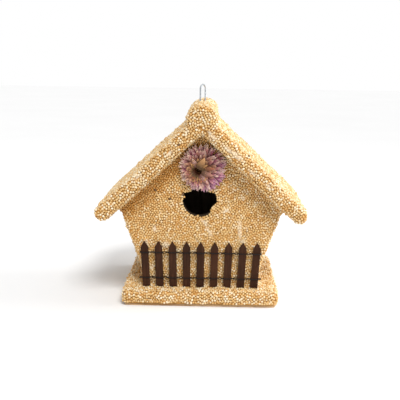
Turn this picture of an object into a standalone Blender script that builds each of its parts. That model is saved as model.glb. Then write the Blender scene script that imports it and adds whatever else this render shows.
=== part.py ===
"""Seed-coated wooden birdhouse, modelled as the pieces it is nailed and glued together from.

Boards and brads make the house. A coat of millet seed covers each outer face. A ridge log, a wire
hanger, a wired picket fence and a dried flower finish it, and a steel cover closes the clean-out hole.

Lengths here are millimetres and become metres as each mesh is made. +Z is up, the front faces -Y,
and the origin is the centre of the base's underside.
"""

import math

import bmesh
import bpy
from mathutils import Matrix, Vector

for old in list(bpy.data.objects):
    bpy.data.objects.remove(old, do_unlink=True)

MM = 0.001

# ---------------------------------------------------------------- driving dimensions, in millimetres
GAP = 0.3  # clearance left between pieces that touch
COAT = 3.1  # from the wood to the outside of the seed
BOARD = 9.5  # walls and roof, 3/8 inch stock
BASE_BOARD = 12.7  # base, 1/2 inch stock

BASE_WIDTH = 152.0  # over the seed coat
BASE_DEPTH = 150.0
BASE_CORNER = 6.0
BASE_EDGE = 4.0
BASE_BARE_EDGE = 1.0  # board left bare along the floor

HOUSE_DEPTH = 114.0  # over the seed coat, front face to back face
WALL_FOOT = 52.0  # half width of the house where it meets the ledge, over the seed
FLARE = math.radians(19.5)  # how far the side walls lean out

ROOF_PITCH = math.radians(43.0)
ROOF_PEAK = 188.4  # where the two coated slopes would meet
ROOF_DEPTH = 152.0
EAVE_REACH = 102.0  # half width over the rounded eaves
ROOF_EDGE = 4.0

RIDGE_AXIS = 179.5  # height of the ridge log's axis
LOG_RADIUS = 11.9
RIDGE_RADIUS = LOG_RADIUS + COAT
RIDGE_EDGE = 3.5

HOLE_X = -1.6
HOLE_Z = 101.6
HOLE_RADIUS = 16.5  # entry hole bored in the wood
COAT_HOLE_RADIUS = 16.8

HANGER_X = -1.0
HANGER_WIRE = 1.6
HANGER_HALF = 4.5  # half the distance between the legs
HANGER_TURN = math.radians(57.0)  # the loop stands askew to the front
HANGER_STRAIGHT = 206.0  # the legs are straight up to here
CLINCH = 7.0  # end of each leg, bent over under the roof

PICKETS = 9
PICKET_WIDTH = 7.3
PICKET_HEIGHT = 45.0
PICKET_POINT = 5.8
PICKET_THICK = 2.0
PICKET_FRONT = 61.0  # distance of the pickets' front face from the middle of the house
FENCE_HALF = 53.8  # end pickets' distance from the centre line, at mid height
FENCE_FAN = math.radians(3.4)  # lean of the end pickets
RAILS = {"top": 50.2, "bottom": 25.0}  # heights of the two wire rails
RAIL_WIRE = 0.9
RAIL_REACH = 59.4
RAIL_LIFT = 0.65  # half the height of the twist between two pickets

FLOWER_X = 1.0
FLOWER_Z = 134.0
FLOWER_RADIUS = 23.2
FLOWER_NOTCH = 2.6  # depth of the notches between the bract tips
FLOWER_BRACTS = 26
FLOWER_BACK = 59.3  # distances from the middle of the house
FLOWER_FRONT = 69.5
DISC_OFFSET = (-2.6, -3.2)  # the open centre sits low and to the left
DISC_RADIUS = 4.6

POCKET_RADIUS = 48.0  # round recess under the base, in which the cover swings
POCKET_DEPTH = 3.2
CLEAN_OUT_X = -20.0
CLEAN_OUT_RADIUS = 16.0
COVER_RADIUS = 19.5
COVER_THICK = 1.0
PIVOT_X = 3.0
PIVOT_TAB = 5.5
SCREW_RADIUS = 1.6
SCREW_HEAD = 3.2
SCREW_LENGTH = 11.0

BRAD_RADIUS = 0.7
BRAD_HEAD = 1.3
BRAD_LENGTH = 24.0
BRAD_SINK = 0.3  # heads set just under the surface

# ---------------------------------------------------------------- worked-out heights and lines
SLOPE = math.tan(ROOF_PITCH)
BASE_TOP = BASE_BOARD + COAT
FOOT = BASE_BOARD + GAP  # walls stand on the board
WOOD_OUTER = ROOF_PEAK - COAT / math.cos(ROOF_PITCH)
WOOD_INNER = WOOD_OUTER - BOARD / math.cos(ROOF_PITCH)
WOOD_MIDDLE = (WOOD_OUTER + WOOD_INNER) / 2.0
ROOF_UNDER = WOOD_INNER - COAT / math.cos(ROOF_PITCH)
ROOF_RISE = GAP / math.cos(ROOF_PITCH)  # the gap, measured straight up through a slope
NOSE_RADIUS = COAT + BOARD / 2.0
NOSE_X = EAVE_REACH - NOSE_RADIUS
FRONT_WOOD = HOUSE_DEPTH / 2.0 - COAT  # outer face of the front and back boards
FRONT_INSIDE = FRONT_WOOD - BOARD
ROOF_WOOD_END = ROOF_DEPTH / 2.0 - COAT
ROUND = 24  # sides of a plain round piece


def roof_z(peak, x):
    """Height at x of a pair of slopes that meet at peak."""
    return peak - SLOPE * abs(x)


def wall_x(z, inset):
    """Half width of the house at height z, inset square to the leaning wall."""
    return WALL_FOOT + (z - BASE_TOP) * math.tan(FLARE) - inset / math.cos(FLARE)


def wall_meets_roof(inset, peak):
    """Point where the leaning wall line meets a roof slope."""
    lean = math.tan(FLARE)
    x = (wall_x(0.0, inset) + lean * peak) / (1.0 + lean * SLOPE)
    return x, roof_z(peak, x)


def slope_point(side, peak, along, inward):
    """Point on one side of the roof: along down the slope from the peak, inward square to it."""
    down = Vector((side * math.cos(ROOF_PITCH), -math.sin(ROOF_PITCH)))
    square = Vector((-side * math.sin(ROOF_PITCH), -math.cos(ROOF_PITCH)))
    point = Vector((0.0, peak)) + down * along + square * inward
    return point.x, point.y


# ---------------------------------------------------------------- materials
def material(name, colour, roughness, metallic=0.0):
    """Principled material of one colour."""
    made = bpy.data.materials.new(name)
    made.use_nodes = True
    shader = made.node_tree.nodes["Principled BSDF"]
    shader.inputs["Base Color"].default_value = (*colour, 1.0)
    shader.inputs["Roughness"].default_value = roughness
    shader.inputs["Metallic"].default_value = metallic
    made.diffuse_color = (*colour, 1.0)
    return made


PINE = ((0.62, 0.43, 0.24), 0.72)
MILLET = ((0.70, 0.48, 0.22), 0.48)
STAINED = ((0.055, 0.027, 0.018), 0.70)
BLACK_WIRE = ((0.020, 0.017, 0.016), 0.45, 0.6)
GALVANISED = ((0.56, 0.60, 0.62), 0.34, 1.0)
BRIGHT_STEEL = ((0.50, 0.49, 0.47), 0.38, 1.0)
PETAL = ((0.52, 0.25, 0.33), 0.62)
SEED_HEAD = ((0.07, 0.035, 0.02), 0.85)
GLUE = ((0.72, 0.66, 0.52), 0.30)


# ---------------------------------------------------------------- mesh helpers
def add_object(name, shape, finish=None):
    """Turn a bmesh in millimetres into an object in metres."""
    bmesh.ops.recalc_face_normals(shape, faces=shape.faces)
    bmesh.ops.scale(shape, vec=(MM, MM, MM), verts=shape.verts)
    mesh = bpy.data.meshes.new(name)
    shape.to_mesh(mesh)
    shape.free()
    made = bpy.data.objects.new(name, mesh)
    bpy.context.scene.collection.objects.link(made)
    if finish:
        mesh.materials.append(material(name + "_finish", *finish))
    return made


def prism(outline, start, end, axis="Y"):
    """Closed prism of an outline. Along Y the outline is (x, z), along Z it is (x, y)."""
    shape = bmesh.new()
    if axis == "Y":
        ring = [shape.verts.new((x, start, z)) for x, z in outline]
        step = Vector((0.0, end - start, 0.0))
    else:
        ring = [shape.verts.new((x, y, start)) for x, y in outline]
        step = Vector((0.0, 0.0, end - start))
    cap = shape.faces.new(ring)
    moved = bmesh.ops.extrude_face_region(shape, geom=[cap])["geom"]
    bmesh.ops.translate(shape, vec=step, verts=[v for v in moved if isinstance(v, bmesh.types.BMVert)])
    return shape


def arc(centre, radius, start, end, steps):
    """Points on an arc, angles in radians from the first axis."""
    angles = [start + (end - start) * i / steps for i in range(steps + 1)]
    return [(centre[0] + radius * math.cos(a), centre[1] + radius * math.sin(a)) for a in angles]


def circle(centre, radius, sides=ROUND):
    """Points round a circle."""
    return arc(centre, radius, 0.0, math.tau * (sides - 1) / sides, sides - 1)


def turned(profile, sides=8):
    """Closed solid turned about Z from (radius, z) points whose first and last lie on the axis."""
    shape = bmesh.new()
    rings = []
    for radius, z in profile[1:-1]:
        turn = [math.tau * i / sides for i in range(sides)]
        rings.append([shape.verts.new((radius * math.cos(a), radius * math.sin(a), z)) for a in turn])
    ends = [shape.verts.new((0.0, 0.0, profile[0][1])), shape.verts.new((0.0, 0.0, profile[-1][1]))]
    for i in range(sides):
        j = (i + 1) % sides
        shape.faces.new((ends[0], rings[0][i], rings[0][j]))
        for low, high in zip(rings, rings[1:]):
            shape.faces.new((low[i], high[i], high[j], low[j]))
        shape.faces.new((ends[1], rings[-1][j], rings[-1][i]))
    return shape


def round_edges(shape, edges, width, segments=2):
    """Round the given edges."""
    bmesh.ops.bevel(shape, geom=edges, offset=width, segments=segments, profile=0.5, affect="EDGES")
    return shape


def end_edges(shape, skip=lambda edge: False):
    """Edges round the two end faces of a prism along Y."""
    ends = (min(v.co.y for v in shape.verts), max(v.co.y for v in shape.verts))
    found = []
    for edge in shape.edges:
        ys = {round(v.co.y, 4) for v in edge.verts}
        if len(ys) == 1 and ys.pop() in (round(ends[0], 4), round(ends[1], 4)) and not skip(edge):
            found.append(edge)
    return found


def cut(target, *shapes):
    """Take each shape away from the target for good."""
    cutters = [add_object("cutter", shape) for shape in shapes]
    for cutter in cutters:
        cutter.hide_render = True
        cutter.display_type = "WIRE"
        taken = target.modifiers.new("cut", "BOOLEAN")
        taken.operation = "DIFFERENCE"
        taken.solver = "EXACT"
        taken.object = cutter
    bpy.context.view_layer.update()
    solid = bpy.data.meshes.new_from_object(target.evaluated_get(bpy.context.evaluated_depsgraph_get()))
    target.modifiers.clear()
    target.data = solid
    for cutter in cutters:
        bpy.data.objects.remove(cutter, do_unlink=True)
    return target


def smooth(made, degrees=35.0):
    """Shade a round piece smooth, with its real corners kept sharp."""
    made.data.shade_smooth()
    made.data.set_sharp_from_angle(angle=math.radians(degrees))
    return made


def wire(name, points, diameter, finish, resolution):
    """Bent wire along points given in millimetres."""
    curve = bpy.data.curves.new(name, "CURVE")
    curve.dimensions = "3D"
    curve.bevel_depth = diameter / 2.0 * MM
    curve.bevel_resolution = resolution
    curve.use_fill_caps = True
    spline = curve.splines.new("POLY")
    spline.points.add(len(points) - 1)
    for spot, point in zip(spline.points, points):
        spot.co = (*(Vector(point) * MM), 1.0)
    curve.materials.append(material(name + "_finish", *finish))
    made = bpy.data.objects.new(name, curve)
    bpy.context.scene.collection.objects.link(made)
    return made


# ---------------------------------------------------------------- brads
def brad_profile(grow):
    """Brad seen from the side: head on top at z = 0, point below."""
    top = grow if grow == 0.0 else BRAD_SINK + GAP
    return (
        (0.0, top),
        (BRAD_HEAD + grow, top),
        (BRAD_HEAD + grow, -0.8 - grow),
        (BRAD_RADIUS + grow, -0.8 - grow),
        (BRAD_RADIUS + grow, -BRAD_LENGTH + 1.6),
        (0.0, -BRAD_LENGTH - grow),
    )


def brad_shape(place, grow=0.0):
    """Brad, or the hole it needs when grown, at its place."""
    shape = turned(brad_profile(grow))
    bmesh.ops.transform(shape, matrix=place, verts=shape.verts)
    return shape


def brad_place(point, inward):
    """Matrix that drives a brad from a point on the surface in the inward direction."""
    turn = Vector((0.0, 0.0, -1.0)).rotation_difference(Vector(inward)).to_matrix().to_4x4()
    return Matrix.Translation(Vector(point) + Vector(inward).normalized() * BRAD_SINK) @ turn


WALL_MIDDLE = FRONT_WOOD - BOARD / 2.0  # middle of the front and back boards' thickness


def base_brads():
    """Up through the base into the front and back walls."""
    return [
        brad_place((x, y, 0.0), (0.0, 0.0, 1.0)) for y in (-WALL_MIDDLE, WALL_MIDDLE) for x in (-32.0, 32.0)
    ]


def roof_brads(side):
    """Square through one roof board into the front and back walls' sloping tops."""
    square = (-side * math.sin(ROOF_PITCH), 0.0, -math.cos(ROOF_PITCH))
    places = []
    for y in (-WALL_MIDDLE, WALL_MIDDLE):
        for along in (42.0, 86.0):
            x, z = slope_point(side, WOOD_OUTER, along, 0.0)
            places.append(brad_place((x, y, z), square))
    return places


def wall_brads(side):
    """Through the front and back walls into one side wall's ends."""
    places = []
    for end in (-1.0, 1.0):
        for z in (34.0, 72.0):
            x = side * wall_x(z, COAT + BOARD / 2.0)
            places.append(brad_place((x, end * FRONT_WOOD, z), (0.0, -end, 0.0)))
    return places


# ---------------------------------------------------------------- boards
def base_outline(margin, corner):
    """Base seen from above, inset by a margin, with round corners."""
    half_x = BASE_WIDTH / 2.0 - margin - corner
    half_y = BASE_DEPTH / 2.0 - margin - corner
    points = []
    for quarter, (sx, sy) in enumerate(((1, 1), (-1, 1), (-1, -1), (1, -1))):
        start = quarter * math.pi / 2.0
        points += arc((sx * half_x, sy * half_y), corner, start, start + math.pi / 2.0, 4)
    return points


def house_outline(inset, foot, peak):
    """Front wall's outline from its foot up to a roof slope."""
    x, z = wall_meets_roof(inset, peak)
    bottom = wall_x(foot, inset)
    return [(-bottom, foot), (bottom, foot), (x, z), (0.0, peak), (-x, z)]


def base_board(brads):
    """Base with the clean-out hole, the round pocket under it and the pivot screw's hole."""
    made = add_object("base_board", prism(base_outline(COAT, 3.0), 0.0, BASE_BOARD, "Z"), PINE)
    pocket = prism(circle((0.0, 0.0), POCKET_RADIUS, 48), -1.0, POCKET_DEPTH, "Z")
    hole = prism(circle((CLEAN_OUT_X, 0.0), CLEAN_OUT_RADIUS, 32), -1.0, BASE_BOARD + 1.0, "Z")
    pilot = prism(circle((PIVOT_X, 0.0), SCREW_RADIUS + GAP, 12), -1.0, SCREW_LENGTH + 0.8, "Z")
    return cut(made, pocket, hole, pilot, *[brad_shape(place, GAP) for place in brads])


def end_wall(name, end, brads, hole=False):
    """Front or back wall: flared below, gabled above."""
    faces = sorted((end * FRONT_INSIDE, end * FRONT_WOOD))
    outline = house_outline(COAT, FOOT, WOOD_INNER - ROOF_RISE)
    made = add_object(name, prism(outline, *faces), PINE)
    shapes = [brad_shape(place, GAP) for place in brads]
    if hole:
        bore = circle((HOLE_X, HOLE_Z), HOLE_RADIUS, 32)
        shapes.append(prism(bore, faces[0] - 1.0, faces[1] + 1.0))
    return cut(made, *shapes)


def side_wall(name, side, brads):
    """Leaning side wall between the front and back walls, its top bevelled to the roof."""
    top_out = wall_meets_roof(COAT, WOOD_INNER - ROOF_RISE)
    top_in = wall_meets_roof(COAT + BOARD, WOOD_INNER - ROOF_RISE)
    outline = [
        (side * wall_x(FOOT, COAT + BOARD), FOOT),
        (side * wall_x(FOOT, COAT), FOOT),
        (side * top_out[0], top_out[1]),
        (side * top_in[0], top_in[1]),
    ]
    reach = FRONT_INSIDE - GAP
    made = add_object(name, prism(outline, -reach, reach), PINE)
    return cut(made, *[brad_shape(place, GAP) for place in brads])


LAP = (WOOD_OUTER - WOOD_INNER) / (2.0 * SLOPE)  # how far the right board runs past the ridge line
BOARD_END = (NOSE_X + math.sin(ROOF_PITCH) * BOARD / 2.0) / math.cos(ROOF_PITCH) + 1.5


def roof_board(name, side, brads, legs):
    """Roof board. The right one laps over the end of the left one at the ridge."""
    if side > 0:
        ridge = [(-LAP, WOOD_INNER + SLOPE * LAP), (0.0, WOOD_OUTER)]
    else:
        back = ROOF_RISE / (2.0 * SLOPE)
        ridge = [(-back, roof_z(WOOD_INNER, back)), (-LAP - back, roof_z(WOOD_OUTER, LAP + back))]
    eave = [slope_point(side, WOOD_OUTER, BOARD_END, depth) for depth in (0.0, BOARD)]
    made = add_object(name, prism(ridge + eave, -ROOF_WOOD_END, ROOF_WOOD_END), PINE)
    return cut(made, *[brad_shape(place, GAP) for place in brads], *legs)


def saddle(radius, peak, reach):
    """Round bar along the ridge, notched underneath to sit on a pair of slopes."""
    drop = peak - RIDGE_AXIS
    square = 1.0 + SLOPE * SLOPE
    x = (SLOPE * drop + math.sqrt((SLOPE * drop) ** 2 - square * (drop * drop - radius * radius))) / square
    low = math.atan2(drop - SLOPE * x, x)
    outline = [(0.0, peak)] + arc((0.0, RIDGE_AXIS), radius, low, math.pi - low, 24)
    return prism(outline, -reach, reach)


def ridge_log(legs):
    """Round log, notched underneath to sit over the ridge."""
    made = add_object("ridge_log", saddle(LOG_RADIUS, WOOD_OUTER + ROOF_RISE, ROOF_WOOD_END), PINE)
    return smooth(cut(made, *legs))


def under_roof(peak, reach):
    """Everything below a pair of slopes, as a cutter for what sits on them."""
    far = 40.0
    outline = [(-far, roof_z(peak, far) - far), (far, roof_z(peak, far) - far)]
    outline += [(far, roof_z(peak, far)), (0.0, peak), (-far, roof_z(peak, far))]
    return prism(outline, -reach, reach)


# ---------------------------------------------------------------- seed coats
def base_seed_coat():
    """Seed over the ledge and the edges of the base, open below and where the house stands."""
    shape = prism(base_outline(0.0, BASE_CORNER), BASE_BARE_EDGE, BASE_TOP, "Z")
    rim = [edge for edge in shape.edges if all(v.co.z > BASE_TOP - 0.01 for v in edge.verts)]
    made = add_object("base_seed_coat", round_edges(shape, rim, BASE_EDGE, 3), MILLET)
    board = prism(base_outline(COAT - GAP, 3.0 + GAP), -1.0, BASE_BOARD + GAP, "Z")
    half_x = wall_x(BASE_TOP, 0.0) + GAP
    half_y = HOUSE_DEPTH / 2.0 + GAP
    corners = [(-half_x, -half_y), (half_x, -half_y), (half_x, half_y), (-half_x, half_y)]
    return cut(made, board, prism(corners, BASE_BOARD - 1.0, BASE_TOP + 1.0, "Z"))


def end_seed_coat(name, end, hole=False):
    """Seed over the front or back wall, out to the coated corners."""
    faces = sorted((end * (FRONT_WOOD + GAP), end * HOUSE_DEPTH / 2.0))
    made = add_object(name, prism(house_outline(0.0, FOOT, WOOD_INNER - ROOF_RISE), *faces), MILLET)
    if hole:
        bore = circle((HOLE_X, HOLE_Z), COAT_HOLE_RADIUS, 32)
        cut(made, prism(bore, faces[0] - 1.0, faces[1] + 1.0))
    return made


def side_seed_coat(name, side):
    """Seed over a side wall and over the ends of the front and back walls."""
    peak = WOOD_INNER - ROOF_RISE
    out = wall_meets_roof(0.0, peak)
    back = wall_meets_roof(COAT - GAP, peak)
    outline = [
        (side * wall_x(FOOT, COAT - GAP), FOOT),
        (side * wall_x(FOOT, 0.0), FOOT),
        (side * out[0], out[1]),
        (side * back[0], back[1]),
    ]
    return add_object(name, prism(outline, -FRONT_WOOD, FRONT_WOOD), MILLET)


def roof_boards_cutter():
    """Both roof boards together, grown by the gap."""
    outline = [(0.0, WOOD_OUTER + ROOF_RISE)]
    outline += [slope_point(1.0, WOOD_OUTER, BOARD_END + GAP, depth) for depth in (-GAP, BOARD + GAP)]
    outline.append((0.0, WOOD_INNER - ROOF_RISE))
    outline += [slope_point(-1.0, WOOD_OUTER, BOARD_END + GAP, depth) for depth in (BOARD + GAP, -GAP)]
    return prism(outline, -ROOF_WOOD_END - GAP, ROOF_WOOD_END + GAP)


def house_cutter():
    """The coated house below the middle of the roof boards, grown by the gap."""
    reach = HOUSE_DEPTH / 2.0 + GAP
    return prism(house_outline(-GAP, FOOT, WOOD_MIDDLE), -reach, reach)


def roof_seed_coat(name, side):
    """Seed round one roof board: over it, round the eave, across both fascias and under the overhang."""
    nose = (NOSE_X + math.sin(ROOF_PITCH) * NOSE_RADIUS) / math.cos(ROOF_PITCH)
    outline = [(side * GAP / 2.0, roof_z(ROOF_PEAK, GAP / 2.0))]
    steps = 8
    for i in range(steps + 1):
        turn = math.pi * i / steps
        depth = NOSE_RADIUS * (1.0 - math.cos(turn))
        outline.append(slope_point(side, ROOF_PEAK, nose + NOSE_RADIUS * math.sin(turn), depth))
    outline.append((side * GAP / 2.0, roof_z(ROOF_UNDER, GAP / 2.0)))
    shape = prism(outline, -ROOF_DEPTH / 2.0, ROOF_DEPTH / 2.0)
    rim = end_edges(shape, skip=lambda edge: all(abs(v.co.x) < 1.0 for v in edge.verts))
    made = add_object(name, round_edges(shape, rim, ROOF_EDGE), MILLET)
    ridge = saddle(RIDGE_RADIUS + GAP, WOOD_MIDDLE - ROOF_RISE, ROOF_DEPTH)
    return smooth(cut(made, roof_boards_cutter(), house_cutter(), ridge))


def ridge_seed_coat(legs):
    """Seed over the ridge log and across its two ends, where it meets the fascias."""
    shape = saddle(RIDGE_RADIUS, WOOD_MIDDLE, ROOF_DEPTH / 2.0)

    def in_notch(edge):
        return any(v.co.z < RIDGE_AXIS and abs(v.co.x) < 1.0 for v in edge.verts)

    rim = end_edges(shape, skip=in_notch)
    made = add_object("ridge_seed_coat", round_edges(shape, rim, RIDGE_EDGE), MILLET)
    reach = ROOF_WOOD_END + GAP
    log = saddle(LOG_RADIUS + GAP, WOOD_INNER, reach)
    return smooth(cut(made, log, under_roof(WOOD_OUTER + ROOF_RISE, reach), *legs))


# ---------------------------------------------------------------- hanger
def hanger_leg(side):
    """Foot of one leg of the wire loop, seen from above."""
    reach = side * HANGER_HALF
    return HANGER_X + reach * math.cos(HANGER_TURN), reach * math.sin(HANGER_TURN)


def hanger_holes():
    """Bores for both legs through the log and the roof boards."""
    radius = HANGER_WIRE / 2.0 + GAP
    low = ROOF_UNDER - 20.0
    return [prism(circle(hanger_leg(side), radius, 12), low, HANGER_STRAIGHT, "Z") for side in (-1, 1)]


def hanger():
    """Wire loop over the ridge, its legs bent over against the underside of the roof boards."""
    drop = (HANGER_WIRE / 2.0 + GAP) / math.cos(ROOF_PITCH)
    legs = {}
    for side in (-1, 1):
        x, y = hanger_leg(side)
        bend = Vector((x, y, roof_z(WOOD_INNER, x) - drop))
        along = Vector((side * math.cos(ROOF_PITCH), 0.0, -math.sin(ROOF_PITCH)))
        legs[side] = [bend + along * CLINCH, bend]
    arch = [
        (HANGER_X + across * math.cos(HANGER_TURN), across * math.sin(HANGER_TURN), z)
        for across, z in arc((0.0, HANGER_STRAIGHT), HANGER_HALF, math.pi, 0.0, 10)
    ]
    return wire("hanger_loop", legs[-1] + arch + legs[1][::-1], HANGER_WIRE, GALVANISED, 2)


# ---------------------------------------------------------------- picket fence
def picket_line(index):
    """Centre and lean of one picket."""
    part = 2.0 * index / (PICKETS - 1) - 1.0
    return FENCE_HALF * part, FENCE_FAN * part


PICKET_MIDDLE = BASE_TOP + GAP + PICKET_HEIGHT / 2.0


def picket(index):
    """Flat picket with a pointed top, standing on the ledge and leaning outwards a little."""
    x, lean = picket_line(index)
    half = PICKET_WIDTH / 2.0
    low = -PICKET_HEIGHT / 2.0
    shoulder = PICKET_HEIGHT / 2.0 - PICKET_POINT
    flat = [(-half, low), (half, low), (half, shoulder), (0.0, -low), (-half, shoulder)]
    lift = PICKET_MIDDLE + half * abs(math.sin(lean))
    turned_flat = [
        (x + px * math.cos(lean) + pz * math.sin(lean), lift - px * math.sin(lean) + pz * math.cos(lean))
        for px, pz in flat
    ]
    name = f"picket_{index + 1}"
    return add_object(name, prism(turned_flat, -PICKET_FRONT, PICKET_THICK - PICKET_FRONT), STAINED)


def rail_strand(name, height, start_front):
    """One of a rail's two wires: in front of a picket, then behind the next, twisted between them."""
    middle = PICKET_FRONT - PICKET_THICK / 2.0
    swing = PICKET_THICK / 2.0 + GAP + RAIL_WIRE / 2.0
    clear = PICKET_WIDTH / 2.0 + RAIL_WIRE / 2.0 + 0.1
    side = 1.0 if start_front else -1.0
    lift = RAIL_LIFT * side
    points = [(-RAIL_REACH, -middle - swing * side, height)]
    edge = None
    for index in range(PICKETS):
        x, lean = picket_line(index)
        centre = x + (height - PICKET_MIDDLE) * math.tan(lean)
        if edge is not None:
            room = centre - clear - edge
            for step in (1, 2, 3):
                turn = math.pi * step / 4.0
                across = -middle - swing * side * math.cos(turn)
                points.append((edge + room * step / 4.0, across, height + lift * math.sin(turn)))
            side = -side
        points.append((centre - clear, -middle - swing * side, height))
        edge = centre + clear
        points.append((edge, -middle - swing * side, height))
    points.append((RAIL_REACH, -middle - swing * side, height))
    return wire(name, points, RAIL_WIRE, BLACK_WIRE, 1)


# ---------------------------------------------------------------- dried flower
def flower_bracts():
    """Flower head: pointed rim, raised ring of bracts and an open centre set low and left."""
    sides = FLOWER_BRACTS * 2
    rings = (
        (9.0, 0.0, FLOWER_BACK, 0.0),
        (FLOWER_RADIUS, FLOWER_NOTCH, FLOWER_BACK + 3.2, 0.0),
        (17.5, 0.8, FLOWER_FRONT - 2.0, 0.2),
        (10.0, 0.0, FLOWER_FRONT, 0.6),
        (DISC_RADIUS + 1.6, 0.0, FLOWER_FRONT - 2.0, 1.0),
        (DISC_RADIUS + 0.6, 0.0, FLOWER_FRONT - 4.2, 1.0),
    )
    shape = bmesh.new()
    loops = []
    for radius, notch, distance, shift in rings:
        centre_x = FLOWER_X + DISC_OFFSET[0] * shift
        centre_z = FLOWER_Z + DISC_OFFSET[1] * shift
        loop = []
        for i in range(sides):
            reach = radius - notch * (i % 2)
            turn = math.tau * i / sides
            spot = (centre_x + reach * math.cos(turn), -distance, centre_z + reach * math.sin(turn))
            loop.append(shape.verts.new(spot))
        loops.append(loop)
    for inner, outer in zip(loops, loops[1:]):
        for i in range(sides):
            j = (i + 1) % sides
            shape.faces.new((inner[i], inner[j], outer[j], outer[i]))
    shape.faces.new(loops[0])
    shape.faces.new(loops[-1])
    return add_object("flower_bracts", shape, PETAL)


def facing_front(name, profile, x, z, finish, sides):
    """Turned piece whose axis points out of the front wall, from (radius, distance) points."""
    shape = turned(profile, sides)
    turn = Matrix.Rotation(math.pi / 2.0, 4, "X")
    bmesh.ops.transform(shape, matrix=Matrix.Translation((x, 0.0, z)) @ turn, verts=shape.verts)
    return add_object(name, shape, finish)


def flower_disc():
    """Dark seed head in the open centre of the flower."""
    floor = FLOWER_FRONT - 4.2 + GAP
    profile = [(0.0, floor), (DISC_RADIUS, floor), (DISC_RADIUS * 0.8, floor + 1.4), (0.0, floor + 2.1)]
    spot = (FLOWER_X + DISC_OFFSET[0], FLOWER_Z + DISC_OFFSET[1])
    return facing_front("flower_disc", profile, *spot, SEED_HEAD, 16)


def flower_glue():
    """Dab of glue that holds the flower to the seed coat."""
    face = HOUSE_DEPTH / 2.0 + GAP
    profile = [(0.0, face), (10.0, face), (8.0, FLOWER_BACK - GAP), (0.0, FLOWER_BACK - GAP)]
    return facing_front("flower_glue", profile, FLOWER_X, FLOWER_Z, GLUE, 16)


# ---------------------------------------------------------------- clean-out cover
def move_origin(made, spot):
    """Put an object's origin at a point without moving the object."""
    offset = Vector(spot) * MM
    made.data.transform(Matrix.Translation(-offset))
    made.location = offset
    return made


def clean_out_cover():
    """Teardrop of sheet steel that swings aside on its screw, inside the pocket."""
    reach = PIVOT_X - CLEAN_OUT_X
    tangent = math.acos((COVER_RADIUS - PIVOT_TAB) / reach)
    outline = arc((CLEAN_OUT_X, 0.0), COVER_RADIUS, tangent, math.tau - tangent, 28)
    outline += arc((PIVOT_X, 0.0), PIVOT_TAB, -tangent, tangent, 8)
    top = POCKET_DEPTH - GAP
    made = add_object("clean_out_cover", prism(outline, top - COVER_THICK, top, "Z"), GALVANISED)
    cut(made, prism(circle((PIVOT_X, 0.0), SCREW_RADIUS + GAP, 16), -1.0, POCKET_DEPTH, "Z"))
    return move_origin(made, (PIVOT_X, 0.0, 0.0))


def clean_out_screw():
    """Pan-head screw that the cover turns on, with a driver slot."""
    under = POCKET_DEPTH - COVER_THICK - 2.0 * GAP
    low = under - 1.2
    profile = [
        (0.0, low),
        (SCREW_HEAD * 0.75, low),
        (SCREW_HEAD, low + 0.5),
        (SCREW_HEAD, under),
        (SCREW_RADIUS, under),
        (SCREW_RADIUS, SCREW_LENGTH - 2.0),
        (0.0, SCREW_LENGTH),
    ]
    shape = turned(profile, 16)
    bmesh.ops.translate(shape, vec=(PIVOT_X, 0.0, 0.0), verts=shape.verts)
    made = add_object("clean_out_screw", shape, BRIGHT_STEEL)
    half_slot = 0.4
    slot = [(PIVOT_X - half_slot, low - 1.0), (PIVOT_X + half_slot, low - 1.0)]
    slot += [(PIVOT_X + half_slot, low + 0.6), (PIVOT_X - half_slot, low + 0.6)]
    return cut(made, prism(slot, -SCREW_HEAD - 1.0, SCREW_HEAD + 1.0))


# ---------------------------------------------------------------- assembly
def brad_set(name, places):
    """One object for each brad of a set."""
    for number, place in enumerate(places, start=1):
        add_object(f"{name}_{number}", brad_shape(place), BRIGHT_STEEL)


def build():
    """Make every piece of the birdhouse."""
    under_base = base_brads()
    over_roof = {side: roof_brads(side) for side in (-1, 1)}
    through_wall = {side: wall_brads(side) for side in (-1, 1)}
    into_ends = under_base + over_roof[-1] + over_roof[1] + through_wall[-1] + through_wall[1]

    base_board(under_base)
    end_wall("front_wall", -1, [p for p in into_ends if p.translation.y < 0.0], hole=True)
    end_wall("back_wall", 1, [p for p in into_ends if p.translation.y > 0.0])
    side_wall("left_side_wall", -1, through_wall[-1])
    side_wall("right_side_wall", 1, through_wall[1])
    roof_board("left_roof_board", -1, over_roof[-1], hanger_holes())
    roof_board("right_roof_board", 1, over_roof[1], hanger_holes())
    ridge_log(hanger_holes())

    base_seed_coat()
    end_seed_coat("front_seed_coat", -1, hole=True)
    end_seed_coat("back_seed_coat", 1)
    side_seed_coat("left_side_seed_coat", -1)
    side_seed_coat("right_side_seed_coat", 1)
    roof_seed_coat("left_roof_seed_coat", -1)
    roof_seed_coat("right_roof_seed_coat", 1)
    ridge_seed_coat(hanger_holes())

    hanger()
    for index in range(PICKETS):
        picket(index)
    for rail, height in RAILS.items():
        rail_strand(f"fence_wire_{rail}_1", height, True)
        rail_strand(f"fence_wire_{rail}_2", height, False)
    flower_bracts()
    flower_disc()
    flower_glue()
    clean_out_cover()
    clean_out_screw()

    brad_set("base_brad", under_base)
    brad_set("roof_brad", over_roof[-1] + over_roof[1])
    brad_set("wall_brad", through_wall[-1] + through_wall[1])


build()
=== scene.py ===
"""Looks for a hanging birdhouse coated in millet seed, built around its packed parts."""

import math

import bmesh
import bpy
import numpy as np
from mathutils import Matrix, Vector, noise
from mathutils.bvhtree import BVHTree
from mathutils.kdtree import KDTree


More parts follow.
